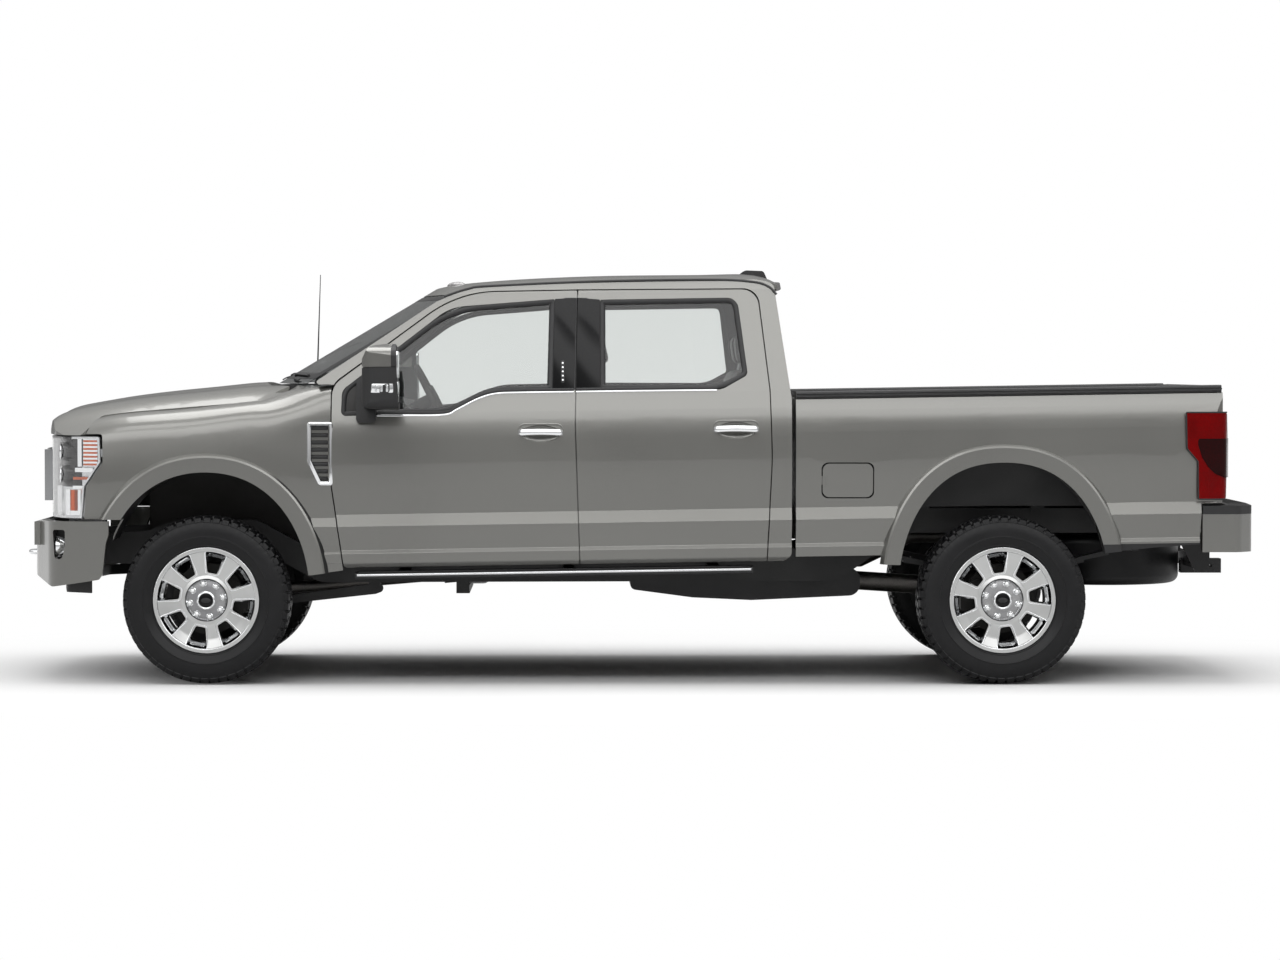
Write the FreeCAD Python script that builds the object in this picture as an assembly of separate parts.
"""Crew-cab pickup truck, four-wheel drive, with a short cargo bed.

Millimetres. +X points to the nose, +Y to the driver's (left) side, +Z up.
The origin is on the ground under the middle of the overall length.
Body lines rise towards the tail by `rake`, as on an unladen truck.
"""

import FreeCAD
import Part

import math
import os

V = FreeCAD.Vector

# Driving dimensions
wheelbase = 4059.0
rear_overhang = 1321.0
hook_reach = 985.0
front_axle_x = (wheelbase + rear_overhang - hook_reach) / 2
rear_axle_x = front_axle_x - wheelbase
tail_x = rear_axle_x - rear_overhang
rake = 0.0156

front_track = 1735.0
rear_track = 1707.0
tyre_radius = 430.0
tyre_width = 275.0
axle_z = tyre_radius

panel_gap = 6.0
swing_gap = 10.0
seat_gap = 0.3

# Cab
cab_front_x = 1562.0
cab_back_x = -785.0
floor_z = 745.0
floor_thickness = 30.0
sill_z = 618.0
crease_low_z = 828.0
crease_high_z = 890.0
belt_z = 1486.0
drip_z = 2058.0
side_y = 990.0
crease_y = 1000.0
belt_y = 948.0
drip_y = 778.0
roof_crown_z = 2108.0
roof_half_width = 742.0
roof_thickness = 24.0
skin_depth = 8.0
frame_depth = 52.0
door_depth = 94.0
cab_wall = 135.0
glass_thickness = 5.0

# Cargo bed
bed_front_x = -806.0
bed_back_x = -2978.0
bed_top_z = 1443.0
bed_floor_z = 906.0
bed_floor_thickness = 34.0
bed_inner_y = 852.0
tub_inner_y = 642.0
rail_cap_height = 38.0
tailgate_thickness = 62.0
tailgate_half_width = 795.0
tailgate_hinge_z = 978.0

# Ladder frame
rail_y = 430.0
rail_width = 76.0

# Hitch
hitch_pin_radius = 8.2

# Steering
kingpin_y = 735.0
spring_top_z = 730.3
steering_arm = 200.0
hub_face_out = 40.0


def raked(x, z):
    """Height of a body line that is z high at the origin."""
    return z - rake * x


def mirrored(shape):
    """The same piece on the right side."""
    return shape.mirror(V(0, 0, 0), V(0, 1, 0))


def both(shape):
    """A left piece and its right copy, as one compound of separate solids."""
    return Part.makeCompound([shape, mirrored(shape)])


def box(x0, x1, y0, y1, z0, z1):
    return Part.makeBox(x1 - x0, y1 - y0, z1 - z0, V(x0, y0, z0))


def rod(start, end, radius):
    """Round bar between two points."""
    a, b = V(*start), V(*end)
    return Part.makeCylinder(radius, (b - a).Length, a, b - a)


def tube(start, end, radius, wall):
    return rod(start, end, radius).cut(rod(start, end, radius - wall))


def loop(points, place):
    """Closed wire through corner points (u, v) or (u, v, radius), each corner rounded by its radius."""
    count = len(points)
    flat = [V(p[0], p[1], 0) for p in points]
    radii = [p[2] if len(p) > 2 else 0 for p in points]
    starts, ends, arcs = [], [], []
    for i in range(count):
        here, before, after = flat[i], flat[i - 1], flat[(i + 1) % count]
        to_before, to_after = before - here, after - here
        reach_before, reach_after = to_before.Length, to_after.Length
        to_before.normalize()
        to_after.normalize()
        opening = to_before.getAngle(to_after)
        if radii[i] <= 0 or math.pi - opening < 1e-4:
            starts.append(here)
            ends.append(here)
            arcs.append(None)
            continue
        cut = min(radii[i] / math.tan(opening / 2), 0.49 * reach_before, 0.49 * reach_after)
        radius = cut * math.tan(opening / 2)
        bisector = to_before + to_after
        bisector.normalize()
        centre = here + bisector * (radius / math.sin(opening / 2))
        starts.append(here + to_before * cut)
        ends.append(here + to_after * cut)
        arcs.append(centre - bisector * radius)
    edges = []
    for i in range(count):
        if arcs[i] is not None:
            three = [place(p.x, p.y) for p in (starts[i], arcs[i], ends[i])]
            edges.append(Part.Arc(*three).toShape())
        nxt = (i + 1) % count
        if (starts[nxt] - ends[i]).Length > 1e-6:
            edges.append(Part.makeLine(place(ends[i].x, ends[i].y), place(starts[nxt].x, starts[nxt].y)))
    return Part.Wire(edges)


def prism_xz(points, y0, y1):
    """Outline drawn in the side view, carried across from y0 to y1."""
    wire = loop(points, lambda x, z: V(x, y0, z))
    return Part.Face(wire).extrude(V(0, y1 - y0, 0))


def prism_yz(points, x0, x1, rise=rake):
    """Cross-section (y, z at the origin), carried along the raked body from x0 to x1."""
    wire = loop(points, lambda y, z: V(x0, y, z - rise * x0))
    return Part.Face(wire).extrude(V(x1 - x0, 0, -rise * (x1 - x0)))


def prism_xy(points, z0, z1):
    """Outline drawn in plan, carried up from z0 to z1."""
    wire = loop(points, lambda x, y: V(x, y, z0))
    return Part.Face(wire).extrude(V(0, 0, z1 - z0))


def loft(sections):
    """Solid through closed wires."""
    return Part.makeLoft(sections, True, False)


def turned(profile, centre, direction=V(0, 1, 0)):
    """Solid of revolution: profile is (radius, y offset) corners, turned about the Y axis through centre."""
    wire = loop(profile, lambda r, y: V(r, y, 0))
    solid = Part.Face(wire).revolve(V(0, 0, 0), V(0, 1, 0), 360)
    solid = Part.Solid(solid.Shells[0]) if solid.ShapeType != "Solid" else solid
    solid.Placement = FreeCAD.Placement(V(*centre), FreeCAD.Rotation(V(0, 1, 0), direction))
    return solid


def fused(shapes):
    first = shapes[0]
    return first.multiFuse(shapes[1:]).removeSplitter() if len(shapes) > 1 else first


nodes = {}


def keep(name, shape):
    """Files a finished piece under its node name."""
    nodes[name] = shape


# Side contour of the cab, from the sill to the drip rail, as (y, z, radius)
def side_contour():
    return [
        (side_y - 42, sill_z, 0),
        (side_y - 18, sill_z + 22, 20),
        (side_y - 10, sill_z + 72, 5),
        (side_y - 22, sill_z + 90, 8),
        (crease_y, crease_low_z, 10),
        (crease_y - 22, crease_high_z, 8),
        (side_y + 3, 1110, 1500),
        (side_y - 4, 1330, 700),
        (belt_y, belt_z, 25),
        (drip_y + 22, drip_z - 50, 60),
        (drip_y, drip_z, 0),
    ]


def side_layer(depth0, depth1, x0, x1):
    """A layer of the left body side, between two depths below the outer surface."""
    outer = [(y - depth0, z, r) for y, z, r in side_contour()]
    inner = [(y - depth1, z, r) for y, z, r in side_contour()]
    return prism_yz(outer + inner[::-1], x0, x1)


# Door and window outlines in the side view, as (x, z, radius)
hinge_front_x = 1556.0
hinge_rear_x = 314.0
door_split_x = 320.0


def front_door_outline(inset=0.0):
    return [
        (1495 - inset, 595 + inset, 20),
        (1524 - inset, 800, 400),
        (hinge_front_x - inset, 1020, 300),
        (hinge_front_x - inset, 1522 - inset, 110),
        (912 - inset * 0.4, 1999 - inset, 600),
        (door_split_x - 13 + inset, 2010 - inset, 4),
        (door_split_x + inset, 1320, 500),
        (door_split_x - 24 + inset, 613 + inset, 4),
    ]


def rear_door_outline(inset=0.0):
    return [
        (hinge_rear_x - 24 - inset, 613 + inset, 4),
        (hinge_rear_x - inset, 1320, 500),
        (hinge_rear_x - 13 - inset, 2010 - inset, 4),
        (-613 + inset, 2016 - inset, 85),
        (-672 + inset, 1500, 600),
        (-682 + inset, 1150, 1500),
        (-657 + inset, 629 + inset, 4),
    ]


front_window = [
    (1509, 1368, 25),
    (1505, 1500, 60),
    (958, 1924, 250),
    (421, 1966, 10),
    (433, 1500, 10),
    (740, 1494, 160),
    (960, 1386, 160),
]

rear_window = [
    (190, 1963, 12),
    (-513, 1974, 60),
    (-563, 1578, 30),
    (-430, 1503, 80),
    (190, 1505, 10),
]


def shrunk(points, factor):
    """An outline drawn in towards its middle."""
    xs = [p[0] for p in points]
    zs = [p[1] for p in points]
    mx, mz = (min(xs) + max(xs)) / 2, (min(zs) + max(zs)) / 2
    return [(mx + (p[0] - mx) * factor, mz + (p[1] - mz) * factor, *p[2:]) for p in points]


def build_door(outline, window, arm_x, arm_z, handle):
    """Door as outer skin, window frame, inner panel and hinge arms in one piece, with its window cut."""
    wide0, wide1 = -900, 1700
    skin = side_layer(0, skin_depth, wide0, wide1).common(prism_xz(outline(0), 500, 1100))
    frame = side_layer(skin_depth, frame_depth, wide0, wide1).common(prism_xz(outline(swing_gap), 500, 1100))
    inner = side_layer(frame_depth, door_depth, wide0, wide1).common(prism_xz(outline(45), 500, 1100))
    inner = inner.common(box(wide0, wide1, 500, 1100, 500, belt_z - 10))
    arms = [box(arm_x - 70, arm_x, 892, 928, z - 36, z + 36) for z in arm_z]
    arms = Part.makeCompound(arms).common(prism_xz(outline(36 + seat_gap), 500, 1100))
    door = fused([skin, frame, inner] + arms.Solids)
    return add_handle(door.cut(prism_xz(window, 500, 1100)), *handle)


def add_handle(door, x, z):
    """Shallow cup in the door's skin, and a pull bar across it."""
    skin = Part.makeLine(V(x, 700, z), V(x, 1200, z)).common(door)
    y = skin.BoundBox.YMax
    cup = Part.makeSphere(1.0)
    stretch = FreeCAD.Matrix()
    stretch.scale(104, 30, 46)
    cup = cup.transformGeometry(stretch)
    cup.translate(V(x, y + 8, z - 4))
    bar = prism_xy(
        [
            (x - 101, y - 12),
            (x - 101, y + 20, 12),
            (x + 101, y + 20, 12),
            (x + 101, y - 12),
            (x + 88, y - 12),
            (x + 78, y + 10, 10),
            (x - 78, y + 10, 10),
            (x - 88, y - 12),
        ],
        z - 12,
        z + 12,
    )
    return door.cut(cup).fuse(bar).removeSplitter()


def build_door_glass(window):
    pane = side_layer(14, 14 + glass_thickness, -900, 1700)
    return pane.common(prism_xz(shrunk(window, 0.998), 500, 1100))


def make_doors():
    front = build_door(front_door_outline, front_window, hinge_front_x, (1080, 1330), (493, 1285))
    rear = build_door(rear_door_outline, rear_window, hinge_rear_x, (860, 1280), (-501, 1302))
    front_glass = build_door_glass(front_window)
    rear_glass = build_door_glass(rear_window)
    keep("front_door_left", front)
    keep("front_door_right", mirrored(front))
    keep("rear_door_left", rear)
    keep("rear_door_right", mirrored(rear))
    keep("front_door_glass_left", front_glass)
    keep("front_door_glass_right", mirrored(front_glass))
    keep("rear_door_glass_left", rear_glass)
    keep("rear_door_glass_right", mirrored(rear_glass))


# Windshield: a slice of a cylinder, leaning back
shield_top = (1126.0, 1989.0)
shield_foot = (1862.0, 1552.0)
shield_sag = 200.0
shield_half_width = 790.0


def shield_slab(offset0, offset1, half_width=shield_half_width):
    """Curved slab between two distances behind the outer surface of the windshield."""
    run, drop = shield_foot[0] - shield_top[0], shield_top[1] - shield_foot[1]
    lean = V(run, 0, -drop)
    radius = (shield_half_width**2 + shield_sag**2) / (2 * shield_sag)

    def arc(offset):
        r = radius - offset
        centre = V(shield_top[0] - radius, 0, shield_top[1])
        a = math.asin(min(0.99, half_width / radius))
        start = lean * -0.3
        pts = [centre + start + V(r * math.cos(t), r * math.sin(t), 0) for t in (-a, 0, a)]
        return Part.Arc(*pts).toShape()

    near, far = arc(offset0), arc(offset1)
    p0, p1 = near.Vertexes[0].Point, near.Vertexes[-1].Point
    q0, q1 = far.Vertexes[0].Point, far.Vertexes[-1].Point
    wire = Part.Wire([near, Part.makeLine(p1, q1), far, Part.makeLine(q0, p0)])
    return Part.Face(wire).extrude(lean * 1.45)


def cab_side_outline():
    """Side view of the cab body behind the front fender."""
    return [
        (1488, sill_z - 24, 10),
        (cab_front_x - 10, 1000, 100),
        (cab_front_x, 1500, 0),
        (cab_front_x, 1529, 0),
        (1625, 1529, 0),
        (1640, 1544, 10),
        (990, 1978, 120),
        (840, 2034, 200),
        (400, 2062, 600),
        (-560, 2078, 90),
        (-700, 2050, 60),
        (cab_back_x, 1455, 60),
        (cab_back_x, 655, 40),
        (cab_back_x + 40, sill_z + 12, 10),
    ]


def make_cab():
    """Cab body: sides with door openings, floor with tunnel, firewall, back wall and roof bows."""
    half = 1100
    outline = prism_xz(cab_side_outline(), -half, half)
    shell = side_layer(0, cab_wall, cab_back_x - 40, 1700)
    shell = shell.common(outline)
    front_open = prism_xz(front_door_outline(-panel_gap), 400, half)
    rear_open = prism_xz(rear_door_outline(-panel_gap), 400, half)
    recess = side_layer(-30, frame_depth + panel_gap, cab_back_x - 40, 1700)
    shell = shell.cut(recess.common(fused([front_open, rear_open])))
    inner_front = prism_xz(front_door_outline(36), 400, half)
    inner_rear = prism_xz(rear_door_outline(36), 400, half)
    shell = shell.cut(inner_front).cut(inner_rear)
    edge_y = 835.0
    back_lean = (cab_back_x, 1455)
    back = prism_xz(
        [
            (cab_back_x, 740),
            (cab_back_x, back_lean[1], 60),
            (-700, 2052, 60),
            (-640, 2052),
            (cab_back_x + 45, back_lean[1], 60),
            (cab_back_x + 45, 740),
        ],
        -880,
        880,
    )
    side_profile = [(y - 4, z) for y, z, _ in side_contour()]
    envelope = prism_yz(side_profile + [(-y, z) for y, z in side_profile[::-1]], cab_back_x - 60, 1700)
    back = back.common(envelope)
    window = prism_yz([(-560, 1560, 60), (560, 1560, 60), (520, 1930, 60), (-520, 1930, 60)], -900, -560, 0)
    back = back.cut(window)

    tunnel_top, tunnel_half = 880.0, 215.0
    under = floor_z - floor_thickness
    floor = prism_yz(
        [
            (-edge_y, under),
            (-tunnel_half + 25, under),
            (-tunnel_half + 45, tunnel_top - 25, 50),
            (tunnel_half - 45, tunnel_top - 25, 50),
            (tunnel_half - 25, under),
            (edge_y, under),
            (edge_y, floor_z),
            (tunnel_half, floor_z),
            (tunnel_half - 20, tunnel_top, 50),
            (-tunnel_half + 20, tunnel_top, 50),
            (-tunnel_half, floor_z),
            (-edge_y, floor_z),
        ],
        cab_back_x + 5,
        1500,
    )
    sill = prism_yz([(806, 628), (856, 628), (856, floor_z), (806, floor_z)], cab_back_x + 40, 1500)
    firewall = box(1455, 1500, -edge_y, edge_y, 694, 1490)
    firewall = firewall.cut(box(1400, 1510, -190, 190, 600, 834))
    cowl_side = box(1455, 1545, 812, 838, 694, 1490)
    cowl_reach = cowl_half_width - 4
    shelf = prism_xz([(1455, 1440), (cowl_front_x, 1420), (cowl_front_x, 1460), (1455, 1460)], -cowl_reach, cowl_reach)
    cowl = prism_xz([(1455, 1452), (1960, 1452), (1960, 1494), (1862, 1528, 20), (1640, 1526), (1455, 1490)], -790, 790)
    cowl = cowl.common(fused([cowl_well(panel_gap), box(1400, 1550, -790, 790, 1400, 1700)]))
    cowl = fused([cowl, shelf, box(1455, 1550, -790, 790, 1440, 1480)])
    over_glass = shield_slab(-300, 7 + seat_gap).common(box(600, 2200, -900, 900, 1530, 2200))
    clear = box(1545, 1700, 812, 1100, 560, 1528)
    side = shell.cut(over_glass).cut(roof_form(seat_gap)).cut(clear)
    side = max(side.Solids, key=lambda solid: solid.Volume)
    keep("cab_sides", both(side))
    pieces = [floor, sill, mirrored(sill), firewall, cowl_side, mirrored(cowl_side), cowl]
    base = fused(pieces).cut(over_glass).cut(nodes["cab_sides"])
    keep("cab_floor", max(base.Solids, key=lambda solid: solid.Volume))
    back = back.cut(roof_form(seat_gap)).cut(nodes["cab_sides"]).cut(nodes["cab_floor"])
    keep("cab_back", max(back.Solids, key=lambda solid: solid.Volume))

    glass = shield_slab(2, 2 + glass_thickness)
    glass = glass.common(
        prism_xz([(1900, 1532), (1560, 1532), (930, 1985), (1140, 1985)], -780, 780)
    )
    keep("windshield", glass.cut(roof_form(seat_gap)))
    rear_pane = prism_yz(
        [(-559.7, 1560.3, 60), (559.7, 1560.3, 60), (519.7, 1929.7, 60), (-519.7, 1929.7, 60)], -900, -560, 0
    ).common(
        prism_xz([(-790, 1455), (-703, 2052), (-698, 2052), (-785, 1455)], -700, 700).translate(V(22, 0, 0))
    )
    keep("rear_window", rear_pane)


roof_stations = [
    (1150, 1995, 1950),
    (1010, 2040, 1998),
    (800, 2068, 2028),
    (450, 2090, 2052),
    (0, 2103, 2062),
    (-450, 2108, 2068),
    (-640, 2100, 2062),
    (-720, 2070, 2040),
]


def roof_section(x, crown, edge, grow):
    """Cross-section of the roof panel at x: crowned top, flat underside, grown by a small amount."""
    half = roof_half_width + grow
    z_top, z_edge = crown + grow, edge + grow
    pts = [V(x, -half, z_edge), V(x, -half * 0.75, z_edge + 0.55 * (z_top - z_edge)), V(x, 0, z_top)]
    pts += [V(x, -p.y, p.z) for p in pts[1::-1]]
    curve = Part.BSplineCurve()
    curve.interpolate(pts)
    low = edge - roof_thickness - grow
    a, b = V(x, half, z_edge), V(x, half, low)
    c, d = V(x, -half, low), V(x, -half, z_edge)
    return Part.Wire([curve.toShape(), Part.makeLine(a, b), Part.makeLine(b, c), Part.makeLine(c, d)])


def roof_form(grow):
    """Roof panel behind the windshield's upper edge."""
    roof = loft([roof_section(x, crown, edge, grow) for x, crown, edge in roof_stations])
    return roof.cut(shield_slab(-300, -grow)).cut(box(900, 1300, -900, 900, 1900, 1990 - grow))


def make_roof():
    keep("roof_panel", roof_form(0))


def arch(centre_x, half_width, height, inset=0.0, power=2.2, foot=-400):
    """Wheel opening: a superellipse over the axle, with straight feet."""
    a, b = half_width - inset, height - inset
    pts = []
    steps = 10
    for i in range(steps + 1):
        t = math.pi * i / steps
        c, s = math.cos(t), math.sin(t)
        x = math.copysign(abs(c) ** (2 / power), c) * a
        z = abs(s) ** (2 / power) * b
        pts.append(V(centre_x + x, 0, axle_z + z))
    curve = Part.BSplineCurve()
    curve.interpolate(pts)
    first, last = pts[0], pts[-1]
    low_first, low_last = V(first.x, 0, axle_z + foot), V(last.x, 0, axle_z + foot)
    return Part.Wire(
        [
            curve.toShape(),
            Part.makeLine(last, low_last),
            Part.makeLine(low_last, low_first),
            Part.makeLine(low_first, first),
        ]
    )


def arch_prism(centre_x, half_width, height, y0, y1, inset=0.0, power=2.2, foot=-400):
    wire = arch(centre_x, half_width, height, inset, power, foot)
    wire.translate(V(0, y0, 0))
    return Part.Face(wire).extrude(V(0, y1 - y0, 0))


# Hood, cowl and the fenders' top
hood_back_x = 1785.0
hood_half_width = 803.0
cowl_front_x = 1890.0
cowl_centre_x = 405.0
cowl_half_width = 694.0
fender_top_z = 1524.0

front_arch = dict(half_width=532.0, height=653.0, power=2.15)
rear_arch = dict(half_width=538.0, height=703.0, power=2.25)
flare_width = 84.0
flare_y = 1014.0


def flare(centre_x, arch_size, y0):
    """Raised lip round a wheel opening, its outer edge sloped back to the body."""
    sizes = [(flare_width + 16, y0), (flare_width, flare_y - 6), (flare_width - 10, flare_y)]
    wires = []
    for grow, y in sizes:
        wire = arch(centre_x, arch_size["half_width"], arch_size["height"], -grow, arch_size["power"])
        wire.translate(V(0, y, 0))
        wires.append(wire)
    return Part.makeLoft(wires, True, True)


def fender_section(x, upper, inner, tuck=0.0):
    """Cross-section of the left front fender at x: side, shoulder, and a ledge that runs in to inner."""
    outer = [V(x, side_y - 24 - tuck, 520), V(x, side_y - 6 - tuck, 860), V(x, side_y - tuck, 1080)]
    outer += [V(x, y, z) for y, z in upper]
    curve = Part.BSplineCurve()
    curve.interpolate(outer)
    a, b = outer[-1], V(x, inner[0], inner[1])
    c = V(x, inner[0], inner[1] - 38)
    d = V(x, side_y - 110 - tuck, upper[-1][1] - 120)
    e = V(x, side_y - 110 - tuck, 520)
    lines = [Part.makeLine(p, q) for p, q in ((a, b), (b, c), (c, d), (d, e), (e, outer[0]))]
    return Part.Wire([curve.toShape()] + lines)


def shoulder_section(x, shoulder, tuck):
    """Fender section beside the hood, from the height of its shoulder and how far the nose tucks in."""
    upper = [
        (side_y - 15 - tuck, shoulder - 150),
        (side_y - 45 - tuck, shoulder - 55),
        (side_y - 96 - tuck, shoulder - 12),
        (side_y - 161 - tuck * 0.4, shoulder),
    ]
    return fender_section(x, upper, (780.0, shoulder + 4), tuck)


def cowl_section(x, upper):
    """Fender section beside the foot of the windshield, where the ledge rises to the cowl."""
    return fender_section(x, upper, (cowl_half_width + panel_gap, fender_top_z))


def make_fenders():
    back_x = hinge_front_x + panel_gap
    stations = [(1945, 1442, 0), (2150, 1420, 2), (2500, 1389, 14), (2760, 1356, 40), (2870, 1326, 64), (2960, 1292, 95)]
    body = loft([shoulder_section(*s) for s in stations])
    rear = [
        cowl_section(1500, [(975, 1300), (956, 1448), (932, 1500), (866, 1519)]),
        cowl_section(1700, [(975, 1298), (950, 1425), (908, 1480), (850, 1507)]),
        cowl_section(1820, [(975, 1295), (946, 1400), (898, 1447), (836, 1478)]),
        cowl_section(1945, [(975, 1292), (945, 1387), (894, 1430), (829, 1442)]),
    ]
    body = fused([body, loft(rear)])
    behind = prism_xz(
        [(p[0] + panel_gap, p[1], p[2]) for p in front_door_outline()[:4]] + [(1400, 1700), (1400, 400)], 500, 1200
    )
    band = side_layer(0, 60, 1480, 1760).common(box(1480, 1760, 800, 1100, 500, 905))
    lip = flare(front_axle_x, front_arch, side_y - 20)
    lip = lip.common(box(1400, 2900, 800, 1100, 560, 1300))
    fender = fused([body, band, lip])
    fender = fender.cut(behind)
    fender = fender.cut(prism_xz([(1400, 300), (1400, 597), (1760, 545), (1760, 300)], 500, 1200))
    fender = fender.cut(arch_prism(front_axle_x, y0=560, y1=1200, **front_arch))
    ahead = prism_xz([(2640, 842), (3300, 842), (3300, 300), (2600, 300), (2600, 842)], 500, 1200)
    fender = fender.cut(ahead)
    lamp_hole = prism_xz(
        [
            (2733 - 4, 1276, 15),
            (2729 - 4, 1130, 20),
            (2815 - 4, 1006, 20),
            (2826 - 4, 830),
            (3300, 830),
            (3300, 1276),
        ],
        500,
        1200,
    )
    fender = fender.cut(lamp_hole)
    liner = arch_prism(front_axle_x, y0=600, y1=side_y - 105, inset=-8, **front_arch)
    liner = liner.cut(arch_prism(front_axle_x, y0=500, y1=1200, **front_arch))
    liner = liner.common(box(1650, 2680, 500, 1100, 560, 1200))
    liner = liner.cut(box(2000, 2400, 500, 640, 500, 1100))
    brackets = [box(1545 + seat_gap, 1600, 815, 890, z, z + 50) for z in (760, 1150)]
    fender = fender.cut(box(1500, 1665, 795, 1000, fender_top_z - 1, 1600))
    fender = fender.cut(box(1400, cab_front_x + seat_gap, 500, 830, 1400, 1600))
    hood_space = prism_xy(nose_plan(-panel_gap), 1264, 1700).cut(hood_corner(panel_gap))
    fender = fender.cut(hood_space).cut(shield_slab(-300, 7 + seat_gap))
    recess = prism_xz([(1574, 1326, 8), (1668, 1326, 8), (1668, 1142, 12), (1618, 1026, 12), (1574, 1026, 8)], side_y - 34, 1100)
    fender = fender.cut(recess)
    fender = fused([fender, liner] + brackets)
    fender = max(fender.Solids, key=lambda solid: solid.Volume)
    keep("front_fenders", both(fender))


def hood_section(x, z_mid, z_side):
    """Closed cross-section of the hood's outer form at x: low side bands and a raised middle."""
    rise = z_mid - z_side
    half = 960.0
    pts = [
        V(x, half, z_side - 84),
        V(x, 880, z_side - 37),
        V(x, 809, z_side),
        V(x, 745, z_side + 0.40 * rise),
        V(x, 672, z_side + 0.67 * rise),
        V(x, 400, z_side + 0.82 * rise),
        V(x, 270, z_mid - 7),
        V(x, 0, z_mid),
    ]
    pts += [V(x, -p.y, p.z) for p in pts[-2::-1]]
    curve = Part.BSplineCurve()
    curve.interpolate(pts)
    low = 1080.0
    a, b = V(x, -half, z_side - 84), V(x, -half, low)
    c, d = V(x, half, low), V(x, half, z_side - 84)
    return Part.Wire([curve.toShape(), Part.makeLine(a, b), Part.makeLine(b, c), Part.makeLine(c, d)])


def hood_form(drop, back):
    """Outer form of the hood lowered by drop, its nose drawn back."""
    stations = [
        (hood_back_x - 5, 1547, 1486),
        (1937, 1538, 1443),
        (2150, 1521, 1421),
        (2450, 1491, 1394),
        (2700, 1458, 1364),
        (2860, 1430, 1330),
        (2980, 1397, 1288),
        (3060 - back, 1308, 1222),
    ]
    return loft([hood_section(x, m - drop, s - drop) for x, m, s in stations])


def nose_plan(back):
    """Plan outline of the hood: straight sides, wide over the lamps, nearly flat across the grille."""
    half = [
        (hood_back_x, hood_half_width - back),
        (2150, hood_half_width - back, 3000),
        (2500, hood_half_width - back - 5, 3000),
        (2748, hood_half_width - back - 15, 30),
        (2806, 886 - back, 30),
        (2842 - back, 936 - back, 14),
        (2915 - back, 908 - back, 60),
        (2990 - back, 790 - back, 100),
        (3085 - back, 300, 900),
    ]
    return half + [(x, -y, *r) for x, y, *r in half[::-1]]


def hood_corner(gap):
    """Left rear corner that the hood leaves to the fender, drawn back from it by a gap, as a prism."""
    x, y = hood_back_x + 6, cowl_half_width
    run, rise = 171.0, 136.0
    out_x, out_y = -gap * rise / math.hypot(run, rise), gap * run / math.hypot(run, rise)
    line = [(x + out_x, y + out_y), (x + run + out_x, y + rise + out_y)]
    return prism_xy([(1500, y + gap)] + line + [(x + run + out_x, 900), (1500, 900)], 1200, 1700)


def cowl_well(gap):
    """Round well between windshield and hood: its front edge runs parallel to the foot of the glass."""
    x = hood_back_x + 6 - cowl_centre_x
    radius = math.hypot(x, cowl_half_width) - gap
    return Part.makeCylinder(radius, 500, V(cowl_centre_x, 0, 1200)).common(
        box(1400, 2100, -cowl_half_width - 1 + gap, cowl_half_width + 1 - gap, 1200, 1700)
    )


def make_hood():
    outer = hood_form(0, 0).common(prism_xy(nose_plan(0), 1270, 1700))
    inner = hood_form(30, 30).common(prism_xy(nose_plan(34), 1200, 1700))
    hood = outer.cut(inner)
    corner = hood_corner(0)
    hood = hood.cut(corner).cut(mirrored(corner)).cut(cowl_well(0))
    arm = box(cowl_front_x + seat_gap, 1990, 560, 590, 1430, 1487)
    hood = fused([hood, arm, mirrored(arm)])
    keep("hood", max(hood.Solids, key=lambda solid: solid.Volume))


def make_grille():
    """Grille: outer frame, two wide bars with a waist, and a ribbed mesh behind."""
    front_x = 3100.0
    half = 600.0
    z0, z1 = 850.0, 1262.0

    def curved_bar(z_low, z_high, reach, depth, half_width):
        plan = [
            (front_x - depth - 70, -half_width),
            (front_x - 70, -half_width, 20),
            (front_x + reach - 22, -half_width * 0.55, 700),
            (front_x + reach, 0, 2600),
            (front_x + reach - 22, half_width * 0.55, 700),
            (front_x - 70, half_width, 20),
            (front_x - depth - 70, half_width),
        ]
        return prism_xy(plan, z_low, z_high)

    frame = curved_bar(z0, z1, -20, 70, half)
    frame = frame.cut(prism_xz([(2900, z0 + 42), (3300, z0 + 42), (3300, z1 - 36), (2900, z1 - 36)], -half + 40, half - 40))
    upper = curved_bar(1128, 1190, 20, 60, half - 10)
    lower = curved_bar(925, 985, 20, 60, half - 10)
    post = fused(
        [
            box(2985, 3075, y - 26, y + 26, 925, 1190)
            for y in (-half + 62, -180, 180, half - 62)
        ]
    )
    mesh = fused(
        [curved_bar(z, z + 10, -45, 20, half - 20) for z in range(int(z0) + 20, int(z1) - 20, 34)]
        + [box(2960, 2985, y - 5, y + 5, z0 + 10, z1 - 10) for y in range(-560, 561, 80)]
    )
    plate = prism_yz([(-165, 985, 40), (165, 985, 40), (165, 1128, 40), (-165, 1128, 40)], front_x - 90, front_x + 4, 0)
    keep("grille", fused([frame, upper, lower, post, mesh, plate]))


def lamp_outline(inset=0.0):
    return [
        (2737 + inset, 1263 - inset, 14),
        (2733 + inset, 1134, 20),
        (2819 + inset, 1009, 20),
        (2832 + inset, 846 + inset, 6),
        (3010, 846 + inset, 6),
        (3090, 1060, 20),
        (3060, 1263 - inset, 14),
    ]


def front_corner_plan(inset=0.0):
    """Plan outline of the lamp corner between grille and fender side."""
    return [
        (2600, 985 - inset),
        (2740, 968 - inset, 120),
        (2930, 880 - inset, 160),
        (3045 - inset, 612, 60),
        (2600, 612),
    ]


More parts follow.
